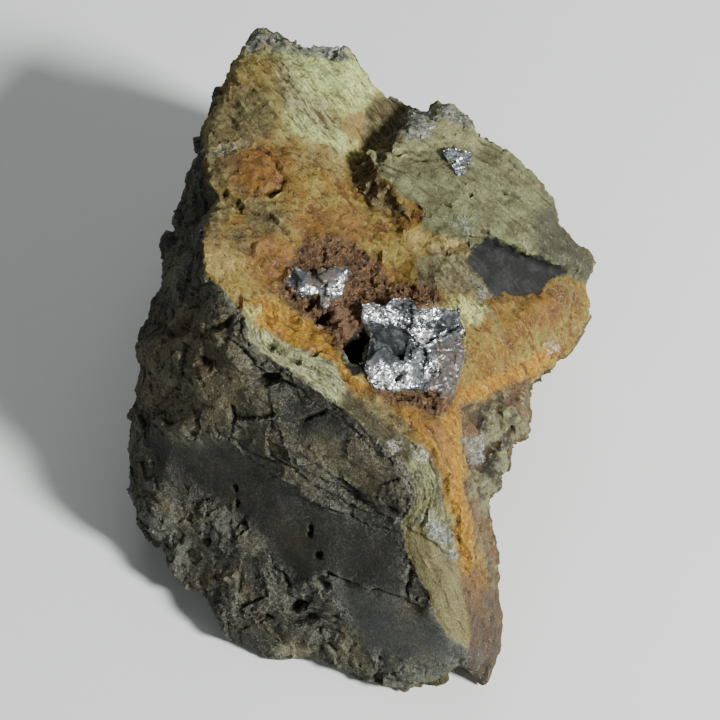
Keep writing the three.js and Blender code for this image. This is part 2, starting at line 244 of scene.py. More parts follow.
# the stone: dark slate with an iron-stained vein, one piece
stone = {
    "nodes": ["matrix", "galena_mass", "galena_patch", "galena_grains"],  # it fills in behind the galena
    "voxel": 0.35 * mm,
    "smoothing": 12,  # rounds
    "most": 196000,  # triangles kept; calm stretches are thinned
    "cleavage": (-0.444, -0.778, 0.448),  # the way the slate splits, across its layers
    "fibres": (0.554, -0.833, 0),  # the way the fibres of the upper block lie
    "hiddenFade": (0.02, 0.3),  # facing the camera: 0 edge on, 1 square on
    "waver": [(3.2, 2.6), (1.2, 1.6)],  # raggedness of zone edges: size in mm, reach in pixels
    "zoneFade": (-0.5, 0.7),  # mm inside a zone's ring
    "edgeRun": (9, 33),  # points of the slate's ring that its pale strip follows
    "strip": (0.7, 7),  # mm across and along a fibre of that strip
    "seats": {"galena": (0.5, 0.9), "grains": (0.35, 0.3)},  # mm down at the rim, and more in the middle
    "seatRag": 0.35,  # mm
    "seatLip": 0.1,  # mm
    "flatBelow": 2.0 * mm,  # no relief at the underside, all of it from here up
    "notMapped": ("slatePlane", "layerEdges", "shoulder", "galena", "grains"),  # zones of shape alone
    "terraces": [  # steps of broken edges, layers of walls: size, start in the noise, swing, step, softness
        ((3.0, 9.0, 1.6), 31, 1.0, 0.3, 0.12),
        ((1.7, 13.0, 13.0), 5, 1.4, 0.45, 0.2),
    ],
    "restsBelow": 0.02 * mm,  # points this low lie on the table
    "ridgeReach": {"ridge": 2, "swell": 12},  # rounds, how wide a ridge or hollow is looked for
    "sharpAngle": 32,  # degrees
}

# finish zones, as rings of photograph pixels
zones = {
    "slate": [[
        (232, 50), (222, 78), (213, 106), (206, 124), (201, 150), (206, 180), (219, 192), (206, 222),
        (202, 248), (206, 275), (222, 289), (242, 310), (245, 325), (250, 340), (260, 352), (277, 365),
        (300, 377), (320, 392), (337, 408), (360, 424), (380, 440), (398, 455), (408, 470), (416, 490),
        (412, 510), (402, 524), (402, 540), (413, 567), (427, 593), (433, 613), (447, 633), (463, 650),
        (468, 662), (457, 668), (447, 680), (447, 730), (60, 730), (60, 20), (225, 20),
    ]],
    "slatePlane": [
        [
            (150, 440), (225, 442), (258, 466), (310, 505), (345, 518), (398, 538), (403, 566),
            (404, 597), (372, 587), (334, 575), (306, 576), (282, 566), (262, 536), (236, 510),
            (190, 486), (158, 482),
        ],
        [
            (330, 578), (360, 586), (405, 604), (432, 616), (446, 634), (462, 652), (440, 662),
            (400, 660), (368, 648), (352, 625), (340, 600),
        ],
        [(292, 408), (330, 412), (352, 430), (330, 448), (300, 436)],
    ],
    "layerEdges": [[
        (250, 452), (300, 464), (350, 486), (404, 512), (404, 532), (378, 532), (340, 516), (300, 496),
        (268, 474),
    ]],
    "shoulder": [[
        (225, 330), (260, 354), (320, 394), (376, 442), (402, 470), (408, 500), (350, 484), (300, 462),
        (250, 450), (225, 440), (215, 390),
    ]],
    "selvage": [[
        (236, 312), (240, 346), (270, 374), (312, 402), (352, 434), (388, 464), (404, 492), (390, 524),
        (402, 574), (422, 618), (455, 660), (470, 640), (466, 610), (462, 585), (458, 560), (455, 540),
        (447, 510), (443, 480), (433, 460), (420, 443), (397, 433), (370, 408), (346, 390), (338, 366),
        (312, 352), (282, 340), (250, 326),
    ]],
    "selvageBrown": [[
        (346, 390), (372, 406), (398, 432), (420, 443), (412, 460), (392, 466), (350, 434), (334, 408),
    ]],
    "selvageOlive": [[
        (396, 524), (432, 530), (458, 562), (466, 610), (472, 640), (455, 660), (422, 618), (402, 574),
    ]],
    "greyPlane": [[
        (330, 574), (360, 582), (405, 600), (432, 612), (450, 634), (466, 654), (440, 668), (400, 666),
        (360, 652), (342, 620),
    ]],
    "upper": [[
        (204, 150), (232, 146), (258, 136), (280, 140), (300, 150), (318, 162), (338, 172), (352, 168),
        (362, 150), (404, 128), (430, 112), (425, 90), (390, 80), (362, 40), (300, 20), (245, 15),
        (215, 60), (190, 130),
    ]],
    "gold": [
        [(212, 74), (238, 54), (268, 60), (272, 84), (252, 97), (212, 102)],
        [(268, 92), (300, 98), (318, 116), (300, 122), (276, 112)],
        [(312, 86), (340, 92), (356, 106), (338, 112), (320, 102)],
    ],
    "silver": [[
        (280, 52), (298, 56), (318, 92), (348, 134), (338, 146), (312, 132), (286, 112), (276, 84),
    ]],
    "blush": [
        [(341, 112), (360, 110), (367, 125), (362, 143), (348, 141), (337, 126)],
        [(308, 144), (328, 145), (336, 160), (318, 163)],
    ],
    "brown": [
        [(210, 112), (232, 85), (262, 92), (276, 112), (272, 135), (255, 143), (230, 147), (204, 148)],
        [(200, 152), (232, 147), (242, 160), (236, 180), (222, 190), (207, 180)],
        [(242, 202), (262, 198), (285, 212), (290, 232), (268, 238), (246, 228)],
        [(222, 226), (244, 222), (256, 240), (248, 256), (228, 250)],
        # this ring darkens the left edge of the upper block: partly its brown, partly painted shade
        [(204, 238), (212, 206), (224, 198), (232, 208), (224, 232), (212, 246)],
        [(350, 386), (384, 399), (404, 412), (420, 434), (402, 442), (372, 418)],
    ],
    "pale": [
        [
            (282, 48), (300, 45), (345, 48), (360, 62), (374, 85), (366, 108), (345, 116), (330, 106),
            (300, 92),
        ],
        [(285, 110), (300, 115), (330, 130), (352, 142), (345, 150), (320, 142), (298, 128)],
        [(247, 306), (258, 312), (252, 322), (243, 314)],
        [(446, 298), (472, 298), (490, 309), (481, 322), (466, 329), (455, 320)],
    ],
    "rust": [
        [(234, 160), (250, 146), (270, 142), (292, 158), (290, 180), (270, 194), (250, 192), (232, 184)],
        [(290, 214), (330, 206), (368, 214), (372, 232), (340, 238), (300, 236)],
        [(250, 240), (272, 236), (296, 250), (296, 268), (284, 290), (262, 286), (250, 262)],
        [(548, 290), (560, 288), (562, 318), (540, 326), (534, 312)],
        [(466, 572), (477, 568), (483, 588), (477, 606), (468, 592)],
        [(408, 402), (438, 418), (452, 440), (446, 464), (430, 446), (412, 424)],
    ],
    "gossan": [
        [
            (298, 250), (330, 238), (352, 242), (372, 262), (392, 282), (437, 290), (446, 302),
            (420, 308), (408, 302), (390, 303), (366, 306), (368, 316), (362, 330), (354, 347),
            (340, 352), (334, 336), (322, 322), (300, 312), (284, 298), (282, 284), (290, 266),
        ],
        [(372, 388), (420, 388), (445, 392), (456, 398), (440, 412), (420, 409), (398, 403), (384, 398)],
    ],
    "tongue": [[(318, 304), (340, 300), (358, 320), (357, 344), (342, 352), (326, 336)]],
    "slab": [[
        (407, 112), (432, 106), (450, 94), (474, 116), (487, 138), (510, 143), (538, 165), (564, 195),
        (570, 222), (604, 262), (598, 284), (572, 278), (540, 268), (505, 256), (478, 254), (460, 244),
        (424, 228), (421, 206), (402, 196), (390, 186), (372, 166), (368, 155), (390, 146), (405, 132),
    ]],
    "slabPale": [[
        (374, 160), (398, 142), (410, 116), (436, 108), (462, 120), (484, 140), (470, 149), (440, 146),
        (420, 153), (402, 162), (398, 184),
    ]],
    # the recess beside the slab: partly its own dark brown, partly a painted shadow cast by the slab
    "shadedRecess": [[
        (365, 98), (392, 98), (424, 104), (416, 116), (405, 130), (390, 146), (366, 157), (360, 150),
        (364, 126),
    ]],
    "cavity": [[
        (348, 352), (357, 332), (363, 321), (372, 330), (371, 352), (368, 372), (356, 376), (346, 366),
    ]],
    "brownSlate": [
        [(140, 350), (176, 300), (216, 296), (244, 330), (256, 380), (232, 430), (160, 432), (132, 400)],
        [(318, 440), (352, 446), (392, 462), (404, 486), (376, 486), (338, 470), (312, 456)],
    ],
    "slabWall": [[
        (366, 150), (372, 166), (390, 186), (402, 197), (412, 207), (410, 220), (390, 211), (370, 207),
        (352, 184), (354, 158),
    ]],
    "slabDark": [[
        (534, 214), (558, 202), (572, 220), (606, 262), (600, 284), (572, 276), (545, 262), (534, 240),
    ]],
    "facet": [[
        (464, 259), (476, 246), (489, 235), (500, 240), (520, 252), (545, 261), (569, 268), (550, 284),
        (541, 295), (518, 297), (494, 295), (478, 278),
    ]],
    "olive": [[
        (414, 262), (430, 250), (500, 250), (494, 272), (502, 297), (470, 299), (440, 294), (418, 290),
    ]],
    "yellow": [
        [(404, 234), (424, 226), (452, 238), (476, 248), (470, 262), (440, 256), (416, 252)],
        [(206, 248), (224, 242), (244, 262), (238, 278), (222, 282), (206, 272)],
    ],
    "band": [
        [
            (396, 400), (412, 401), (430, 424), (446, 418), (452, 400), (470, 384), (500, 372),
            (525, 362), (550, 345), (560, 352), (530, 378), (500, 390), (478, 398), (462, 410),
            (458, 440), (466, 470), (465, 497), (475, 527), (474, 560), (472, 582), (464, 578),
            (459, 557), (455, 517), (447, 483), (439, 458), (416, 434), (402, 410),
        ],
        [
            (246, 302), (262, 298), (290, 310), (310, 324), (330, 340), (338, 358), (350, 372),
            (368, 386), (362, 393), (346, 386), (337, 364), (312, 350), (282, 338), (252, 322),
        ],
    ],
    "flank": [[
        (462, 402), (478, 400), (494, 394), (512, 384), (560, 376), (550, 520), (510, 602), (498, 610),
        (478, 540), (468, 505), (467, 470), (462, 440),
    ]],
    "toe": [[
        (462, 576), (474, 570), (490, 590), (530, 586), (530, 710), (470, 710), (460, 664), (464, 630),
    ]],
    "mica": [
        [(437, 112), (446, 96), (462, 98), (478, 118), (466, 126), (450, 124)],
        [(404, 113), (432, 106), (440, 118), (434, 134), (414, 141), (402, 132)],
        [
            (244, 58), (250, 32), (262, 18), (300, 28), (340, 36), (352, 56), (342, 64), (326, 58),
            (300, 52), (268, 46),
        ],
        [(420, 516), (432, 514), (452, 540), (457, 558), (446, 556), (430, 536)],
        [(472, 283), (480, 282), (494, 296), (484, 300)],
        [(203, 149), (222, 143), (245, 144), (244, 148), (222, 148), (206, 155)],
        [(457, 222), (468, 220), (474, 236), (464, 236)],
        [(470, 440), (482, 436), (482, 460), (474, 464)],
    ],
    "white": [
        [(388, 441), (402, 439), (404, 450), (394, 453)],
        [(410, 445), (420, 442), (429, 455), (425, 465), (414, 456)],
        [(545, 344), (556, 342), (559, 350), (549, 355)],
        # the last ring lightens the slab's top-left face: painted light where that face turns from the key
        # lamp
        [(408, 114), (428, 109), (438, 118), (432, 134), (414, 140)],
    ],
    "flake": [
        [(176, 308), (183, 312), (182, 332), (178, 344), (168, 340), (170, 322)],
        [(268, 650), (292, 644), (310, 650), (302, 662)],
        [(218, 572), (238, 570), (238, 582), (222, 584)],
    ],
    "galena": [
        [
            (362, 305), (376, 302), (392, 300), (408, 299), (418, 306), (444, 305), (459, 308),
            (460, 321), (466, 335), (464, 360), (455, 386), (443, 394), (417, 389), (386, 389),
            (375, 389), (363, 376), (368, 348), (371, 335), (361, 324),
        ],
        [
            (284, 282), (294, 266), (310, 275), (327, 267), (350, 267), (346, 281), (342, 296),
            (326, 308), (319, 308), (320, 294), (305, 295), (296, 292),
        ],
    ],
    "grains": [[(441, 150), (452, 146), (470, 149), (472, 158), (464, 174), (457, 176), (450, 164)]],
}

# hollows: [across, down, half width, half height in pixels, turn in degrees, depth in mm]
hollows = [
    [206, 541, 4, 5, 0, 1.2], [309, 531, 3, 7, 10, 1.1], [319, 557, 4, 4, 0, 1.0],
    [236, 489, 2.5, 4, 5, 0.8], [237, 504, 2.5, 4, 0, 0.8], [259, 616, 12, 4, 8, 1.2],
    [297, 607, 10, 5, -15, 1.2], [301, 622, 18, 6, -6, 1.6], [322, 584, 10, 7, 35, 1.2],
    [331, 576, 8, 4, 12, 1.0], [220, 325, 13, 5, -25, 1.2], [265, 381, 14, 6, -12, 1.3],
    [312, 416, 22, 3, -18, 0.7], [408, 582, 3, 20, 4, 0.7], [206, 362, 7, 4, 50, 0.8],
    [232, 416, 9, 3, 60, 0.6], [240, 300, 4, 10, 0, 0.7], [316, 352, 3, 10, 60, 0.6],
    [272, 346, 3, 7, 0, 0.8], [296, 358, 7, 3, 15, 0.7], [392, 150, 14, 3, 5, 0.7],
    [415, 158, 12, 3, 10, 0.6], [452, 250, 18, 4, -4, 1.0], [325, 318, 4, 9, 40, 1.4],
    [308, 306, 4, 6, 50, 1.0], [402, 398, 8, 3, 0, 1.1], [434, 404, 6, 3, 20, 0.9],
    [478, 420, 5, 10, 0, 0.8], [497, 446, 5, 6, 0, 0.9], [512, 432, 4, 5, 0, 0.8],
    [350, 262, 8, 4, 0, 0.7], [376, 258, 5, 8, 0, 0.7], [272, 193, 8, 3, -12, 1.4],
    [232, 200, 5, 14, -50, 0.9], [352, 352, 9, 16, 20, 1.6], [446, 205, 5, 2, 20, 0.6],
    [486, 232, 6, 2, 30, 0.6], [470, 196, 3, 2, 0, 0.6], [503, 190, 4, 2, 40, 0.6],
    [334, 50, 3.5, 8, 8, 0.6],
]

# ledges and cracks: points along each, and its drop in mm
ledges = [
    [[(232, 446), (256, 462), (282, 480), (310, 503), (345, 516), (378, 531)], 0.6],
    [[(252, 452), (290, 470), (325, 492), (362, 508), (402, 522)], 0.4],
    [[(286, 462), (322, 478), (362, 498), (404, 514)], 0.35],
    [[(325, 575), (357, 583), (380, 591), (407, 602), (432, 613)], 0.6],
    [[(262, 440), (300, 452), (340, 480), (370, 497)], 0.4],
    [[(222, 330), (246, 352), (262, 372), (300, 384)], 0.6],
    [[(290, 428), (316, 414), (340, 412)], 0.5],
    [[(246, 330), (282, 350), (318, 372), (352, 398), (388, 432)], 0.35],
    [[(258, 338), (300, 356), (340, 384), (372, 412)], 0.3],
    [[(404, 528), (420, 534), (436, 546), (452, 560)], 0.5],
    [[(372, 160), (400, 148), (430, 150)], 0.5],
    [[(430, 236), (470, 238), (500, 240)], 0.4],
    [[(203, 150), (222, 145), (245, 143), (262, 146), (276, 160), (285, 176), (280, 191), (258, 195),
      (228, 190)], 0.55],
    [[(220, 196), (245, 203), (270, 214), (288, 231), (296, 246)], 0.7],
    [[(300, 150), (330, 168), (352, 190), (372, 208), (404, 222)], 0.4],
    [[(296, 262), (320, 246), (350, 244), (372, 262), (388, 284)], 0.4],
    [[(446, 470), (458, 520), (466, 560), (480, 600)], 0.35],
    [[(478, 562), (478, 530), (469, 500), (470, 470), (461, 440), (466, 408), (480, 400)], 0.6],
]

# bumps: [across, down, radius in pixels, height in mm]
bumps = [
    [256, 249, 6, 0.8], [267, 262, 6, 0.9], [275, 284, 7, 0.9], [259, 268, 5, 0.6], [240, 262, 7, 0.5],
    [300, 325, 7, 0.6], [318, 340, 7, 0.6], [357, 381, 11, 1.1], [342, 328, 9, 0.8], [338, 312, 8, 0.7],
    [176, 326, 9, 1.5], [551, 348, 7, 0.9], [224, 579, 4, 0.6], [235, 576, 4, 0.6], [200, 372, 12, 0.8],
    [176, 380, 12, 0.7], [300, 590, 12, 0.8], [290, 632, 12, 0.8], [340, 640, 10, 0.7],
    [180, 548, 10, 0.8], [505, 412, 9, 0.6], [520, 400, 7, 0.6], [516, 422, 8, 0.7], [500, 452, 6, 0.6],
]

ledgeForm = {
    "fall": 9,  # pixels below the edge over which the drop runs out
    "lip": (0.2, 7),  # the upper side: share of the drop that it stands up, pixels over which it runs out
    "edge": 1.4,  # pixels, softness of the edge and width of its crack
    "crack": 0.35,  # share of the drop
    "ends": 0.12,  # share of the length over which a ledge starts and stops
}


def carveHollows(spots):
    depth = np.zeros(len(spots))
    for across, down, width, height, turn, deep in hollows:
        angle = math.radians(turn)
        x, y = (spots - (across, down)).T
        u = (x * math.cos(angle) + y * math.sin(angle)) / width
        v = (y * math.cos(angle) - x * math.sin(angle)) / height
        depth = np.minimum(depth, -deep * ease(1.25 - np.hypot(u, v), 0, 0.8))
    return depth


def raiseBumps(spots):
    rise = np.zeros(len(spots))
    for across, down, radius, high in bumps:
        far = np.hypot(*(spots - (across, down)).T) / radius
        rise = np.maximum(rise, high * ease(1.2 - far, 0, 1.1))
    return rise


def dropLedges(spots):
    drop = np.zeros(len(spots))
    stands, runs = ledgeForm["lip"]
    for points, high in ledges:
        points = np.array(points, float)
        nearest = np.full(len(spots), farOff)
        side = np.zeros(len(spots))
        tip = np.zeros(len(spots))
        for i, (start, end) in enumerate(zip(points, points[1:])):
            far, along = toSegment(spots, start, end)
            closer = far < nearest
            run = end - start
            turned = run[0] * (spots[:, 1] - start[1]) - run[1] * (spots[:, 0] - start[0])
            nearest = np.where(closer, far, nearest)
            side = np.where(closer, np.sign(turned), side)
            tip = np.where(closer, (i + along) / (len(points) - 1), tip)
        ends = ease(tip, 0, ledgeForm["ends"]) * ease(1 - tip, 0, ledgeForm["ends"])
        below = -np.exp(-nearest / ledgeForm["fall"])
        above = stands * np.exp(-nearest / runs)
        shape = np.where(side > 0, below, above) * ease(nearest, 0, ledgeForm["edge"])
        crack = -ledgeForm["crack"] * np.exp(-((nearest / ledgeForm["edge"]) ** 2))
        drop += high * ends * (shape + crack)
    return drop


def runAlong(spots, line):  # how far along a line of pixels
    line = np.array(line, float)
    lengths = np.linalg.norm(np.diff(line, axis=0), axis=1)
    begins = np.concatenate(((0,), np.cumsum(lengths)))
    nearest = np.full(len(spots), farOff)
    run = np.zeros(len(spots))
    for start, end, begin, length in zip(line, line[1:], begins, lengths):
        far, along = toSegment(spots, start, end)
        run = np.where(far < nearest, begin + along * length, run)
        nearest = np.minimum(nearest, far)
    return run


def flattenUnderside(mesh):  # one face under the stone in place of thousands
    bm = bmesh.new()
    bm.from_mesh(mesh)
    under = [f for f in bm.faces if all(v.co.z < 1e-6 for v in f.verts)]
    print("underside faces merged:", len(under))
    bmesh.ops.dissolve_faces(bm, faces=under, use_verts=False)
    flat = [f for f in bm.faces if all(v.co.z < 1e-6 for v in f.verts)]
    bmesh.ops.triangulate(bm, faces=flat)
    bm.to_mesh(mesh)
    bm.free()


# relief of the stone: pattern, its axes, size in mm (on the strip in fibres), start in the noise, detail,
# height in mm by area
stoneRelief = [
    [lumpy, "even", 7, 0, (3, 1.0), {"uneven": 0.45}],
    [chipped, "layered", (3.6, 6.0, 7.0), 0, (0.8,), {"hackly": 0.55, "hiddenHackly": 0.5}],
    [chipped, "layered", (1.6, 2.2, 2.6), 17, (0.8,), {"splintered": 0.36}],
    [chipped, "layered", (0.8, 1.1, 1.3), 41, (0.8,), {"splintered": 0.14}],
    [lumpy, "layered", (1.0, 1.6, 1.9), 29, (4, 0.6), {"splintered": 0.13}],
    [chipped, "layered", (2.0, 7.0, 10.0), 11, (0.3,), {"flat": 0.05}],
    [lumpy, "layered", (1.0, 3.5, 1.4), 0, (4, 0.7), {"flat": 0.08}],
    [chipped, "layered", (0.8, 3.2, 3.2), 23, (0.5,),
     {"upper": 0.15, "slab": 0.12, "slabWall": 0.35, "crust": 0.08}],
    [lumpy, "even", 2.4, 15, (4, 0.7), {"upper": 0.2}],
    [lumpy, "fibred", (9.0, 1.3, 1.3), 19, (4, 0.7), {"fibrous": 0.42}],
    [chipped, "even", 1.1, 37, (1.0,), {"mica": 0.22}],
    [lumpy, "strip", 1, 0, (4, 0.7), {"sheets": 0.36}],
    [lumpy, "strip", (2.2, 1.6, 1), 9, (3, 1.0), {"band": 0.5}],
    [chipped, "even", 1.2, 5, (1.0,), {"gossan": 0.34, "flank": 0.12, "crust": 0.08}],
    [chipped, "even", 0.7, 9, (1.0,), {"gossan": 0.26, "flank": 0.06, "crust": 0.05, "slab": 0.1}],
    [lumpy, "even", 4.2, 71, (4, 0.9), {"flank": 0.8}],
    [lumpy, "even", 3.0, 7, (4, 0.7), {"crust": 0.4}],
    [lumpy, "layered", (0.9, 3.0, 3.0), 13, (4, 0.6), {"crust": 0.22}],
    [lumpy, "even", (1.4, 9.0, 4.0), 83, (4, 0.8), {"toe": 0.5}],
    [lumpy, "even", 1.3, 47, (4, 0.7), {"facetLip": 0.22}],
    [lumpy, "layered", (0.8, 2.0, 2.0), 77, (4, 0.6), {"slabTop": 0.2}],
    [lumpy, "even", 0.9, 2, (3, 1.0), {"uneven": 0.1}],
]


def stoneAreas(by, hidden):  # where each relief lies: the zones as seen, and what is worked out from them
    front = 1 - hidden
    areas = {name: ease(distance, *stone["zoneFade"]) * front for name, distance in by.items()}

    def less(area, **shares):  # an area calmed by a share where others lie
        for name, share in shares.items():
            area = area * (1 - share * areas[name])
        return area

    areas["anySlate"] = np.maximum(areas["slate"], hidden)
    areas["flat"] = np.maximum(ease(by["slatePlane"], -1.6, 1.6) * front, areas["facet"])
    areas["nearToe"] = ease(by["toe"], -2, 1)
    areas["hackly"] = less(areas["anySlate"], flat=0.92, layerEdges=0.6, nearToe=0.8)
    areas["hiddenHackly"] = hidden * areas["hackly"]
    areas["splintered"] = less(areas["hackly"], shoulder=0.5)
    areas["sheeted"] = np.maximum(areas["selvage"], areas["band"])
    areas["sheets"] = less(areas["sheeted"], selvageOlive=0.5)
    areas["crust"] = less(1 - areas["anySlate"], slab=1, upper=1, facet=1, sheeted=0.7)
    areas["crust"] = less(areas["crust"], flank=0.7, toe=0.7)
    areas["uneven"] = less(1, flat=0.8)
    areas["fibrous"] = np.maximum(areas["upper"], areas["shadedRecess"])
    areas["facetLip"] = np.exp(-((by["facet"] / 0.7) ** 2)) * front
    areas["slabTop"] = less(areas["slab"], facet=1)
    return areas


def carveStone():
    piece = denseCopy("stone", stone["nodes"], stone["voxel"])
    smoothed(piece, stone["smoothing"])
    mesh = piece.data
    places, normals = readMesh(mesh)
    millimetres = places / mm
    spots = wavered(toPhoto(places), millimetres, stone["waver"])
    towards = (eye - places) / np.linalg.norm(eye - places, axis=1)[:, None]
    hidden = 1 - ease(np.einsum("ij,ij->i", normals, towards), *stone["hiddenFade"])
    front = 1 - hidden
    by = {name: insideRings(spots, rings) * photo["pixel"] / mm for name, rings in zones.items()}
    areas = stoneAreas(by, hidden)
    print("stone zones read,", len(mesh.polygons), "faces")

    # axes of the slate: across its layers, along strike, down dip
    across = np.array(stone["cleavage"]) / np.linalg.norm(stone["cleavage"])
    strike = np.cross(across, (0, 0, 1))
    strike /= np.linalg.norm(strike)
    layered = millimetres @ np.stack((across, strike, np.cross(across, strike)), axis=1)
    fibres = np.array(stone["fibres"])
    run = runAlong(spots, zones["slate"][0][slice(*stone["edgeRun"])]) * photo["pixel"] / mm
    axes = {
        "even": millimetres,
        "layered": layered,
        "fibred": millimetres @ np.stack((fibres, np.cross((0, 0, 1), fibres), (0, 0, 1)), axis=1),
        "strip": combined(-by["slate"] / stone["strip"][0], run / stone["strip"][1], 0.0),
    }
    rise = np.zeros(len(places))
    for pattern, along, size, start, detail, heights in stoneRelief:
        strength = sum(height * areas[area] for area, height in heights.items())
        rise += pattern(axes[along] / size + start, *detail) * strength
    # stepped edges of the layers
    steps, layers = (terrace(swing * lumpy(layered / size + start), step, soft)
                     for size, start, swing, step, soft in stone["terraces"])
    wall = 1 - np.abs(normals @ across)
    rise += 0.5 * steps * areas["layerEdges"]
    rise += layers * (0.9 * wall * areas["hackly"] + 0.7 * areas["slabWall"])
    rise += (carveHollows(spots) + raiseBumps(spots) + dropLedges(spots)) * front
    # seats of the galena, with a ragged lip of rock round them
    ragged = stone["seatRag"] * lumpy(millimetres / 1.1 + 51)
    rise += stone["seatLip"] * np.exp(-((by["galena"] / 0.8) ** 2)) * front
    for name, (shallow, deep) in stone["seats"].items():
        buried = ease(by[name] + ragged, -0.2, 0.4) * front
        rise = rise * (1 - buried) - (shallow + deep * ease(by[name] + ragged, 0.5, 1.3)) * buried
    rise *= ease(places[:, 2], 0, stone["flatBelow"])
    places += normals * rise[:, None] * mm
    places[:, 2] = np.where(places[:, 2] < stone["restsBelow"], 0, places[:, 2])
    writePlaces(mesh, places)

    for name in zones:
        if name not in stone["notMapped"]:
            writeMap(mesh, name, by[name])
    writeMap(mesh, "plane", areas["flat"])
    writeMap(mesh, "run", run)
    writeMap(mesh, "hidden", hidden)
    for name, reach in stone["ridgeReach"].items():
        writeMap(mesh, name, sharpness(mesh, reach))
    flattenUnderside(mesh)
    thinned(piece, stone["most"])
    piece.data.shade_smooth()
    piece.data.set_sharp_from_angle(angle=math.radians(stone["sharpAngle"]))
    print("stone carved,", triangles(piece.data), "triangles")
    return piece


class Wire:  # a socket that takes part in sums
    def __init__(self, paint, socket):
        self.paint = paint
        self.socket = socket

    def lay(self, mask, top, mode="MIX"):  # another colour over this one
        self.socket = self.paint.blend(mask, self, top, mode).socket

    def maths(self, operation, first, second):
        return self.paint.add("ShaderNodeMath", {"operation": operation}, {0: first, 1: second})

    def __add__(self, other):
        return self.maths("ADD", self, other)

    def __radd__(self, other):
        return self.maths("ADD", other, self)

    def __sub__(self, other):
        return self.maths("SUBTRACT", self, other)

    def __rsub__(self, other):
        return self.maths("SUBTRACT", other, self)

    def __mul__(self, other):
        return self.maths("MULTIPLY", self, other)

    def __rmul__(self, other):
        return self.maths("MULTIPLY", other, self)


class Paint:  # a material under construction, with named colours
    def __init__(self, name, colours):
        self.colours = colours
        self.material = bpy.data.materials.new(name)
        self.material.use_nodes = True
        self.tree = self.material.node_tree
        self.shader = self.tree.nodes["Principled BSDF"]

    def add(self, kind, settings, sockets, output=0):
        node = self.tree.nodes.new(kind)
        for key, value in settings.items():
            setattr(node, key, value)
        for key, value in sockets.items():
            self.plug(node.inputs[key], value)
        return Wire(self, node.outputs[output])

    def plug(self, socket, value):
        if isinstance(value, Wire):
            self.tree.links.new(value.socket, socket)
        elif isinstance(value, str):
            socket.default_value = (*self.colours[value], 1)
        else:
            socket.default_value = value

    def finish(self, **sockets):
        for key, value in sockets.items():
            self.plug(self.shader.inputs[key.replace("_", " ")], value)
        return self.material

    def place(self):
        return self.add("ShaderNodeTexCoord", {}, {}, "Object")

    def map(self, name):
        return self.add("ShaderNodeAttribute", {"attribute_name": name}, {}, "Fac")

    def cloud(self, place, size, detail=4.0, rough=0.55):  # grey noise, size in mm
        sockets = {"Vector": place, "Scale": 1 / (size * mm), "Detail": detail, "Roughness": rough}
        return self.add("ShaderNodeTexNoise", {}, sockets, "Fac")

    def between(self, value, low, high):  # 0 to 1 with soft ends
        sockets = {"Value": value, "From Min": low, "From Max": high}
        return self.add("ShaderNodeMapRange", {"interpolation_type": "SMOOTHSTEP"}, sockets)

    def patches(self, cloud, other, much, low, high):  # where a cloud is high, frayed by another one
        return self.between(cloud + (other - 0.5) * much, low, high)

    def blend(self, factor, first, second, mode="MIX"):
        settings = {"data_type": "RGBA", "blend_type": mode, "clamp_factor": True}
        return self.add("ShaderNodeMix", settings, {0: factor, 6: first, 7: second}, 2)

    def stretched(self, place, turn, stretch):  # pattern stretched along its own turned axes
        sockets = {"Vector": place, "Rotation": turn, "Scale": stretch}
        return self.add("ShaderNodeMapping", {"vector_type": "TEXTURE"}, sockets)


# colours of the stone, linear
stoneColours = {
    "ochre": (0.151, 0.084, 0.0110), "ochrePale": (0.194, 0.147, 0.034),
    "ochreDeep": (0.100, 0.043, 0.0080), "band": (0.239, 0.107, 0.0068),
    "bandPale": (0.286, 0.183, 0.0200), "rust": (0.172, 0.076, 0.0131), "upper": (0.235, 0.215, 0.076),
    "upperGold": (0.189, 0.135, 0.034), "pale": (0.485, 0.545, 0.198), "brown": (0.072, 0.055, 0.020),
    "brownLight": (0.118, 0.100, 0.043), "gossan": (0.065, 0.035, 0.0144),
    "tongue": (0.116, 0.065, 0.033), "gossanLight": (0.140, 0.077, 0.0310), "slab": (0.093, 0.093, 0.043),
    "slabLight": (0.152, 0.160, 0.077), "slabDark": (0.037, 0.035, 0.0228), "wall": (0.114, 0.084, 0.037),
    "oliveLight": (0.107, 0.102, 0.055), "oliveDark": (0.030, 0.0289, 0.0160),
    "selvage": (0.319, 0.345, 0.179), "selvageLow": (0.124, 0.120, 0.056),
    "selvageDull": (0.558, 0.540, 0.486), "selvageDark": (0.048, 0.047, 0.028),
    "selvageBrown": (0.031, 0.0239, 0.0109), "selvageOlive": (0.143, 0.122, 0.050),
    "flank": (0.130, 0.125, 0.066), "flankDark": (0.034, 0.029, 0.018), "toe": (0.050, 0.041, 0.031),
    "slate": (0.0215, 0.0208, 0.0150), "slateGrey": (0.048, 0.051, 0.046),
    "slateBrown": (0.072, 0.059, 0.0266), "slateDustAndSheen": (0.166, 0.166, 0.115),
    "shadedRecess": (0.100, 0.088, 0.042), "slabPale": (0.235, 0.230, 0.108),
    "slatePlane": (0.0149, 0.0144, 0.0103), "glint": (0.52, 0.50, 0.42), "yellow": (0.285, 0.222, 0.069),
    "toeLight": (0.084, 0.052, 0.0260), "toeDark": (0.030, 0.023, 0.019),
    "rustDark": (0.095, 0.050, 0.021), "silver": (0.300, 0.305, 0.160), "blush": (0.239, 0.152, 0.048),
    "flake": (0.150, 0.135, 0.080), "facet": (0.0060, 0.0063, 0.0052), "mica": (0.225, 0.232, 0.190),
    "micaDark": (0.105, 0.109, 0.088), "white": (0.40, 0.40, 0.34), "hiddenVein": (0.115, 0.072, 0.026),
    "shadow": (0.012, 0.009, 0.006), "brownShadow": (0.045, 0.026, 0.010),
}

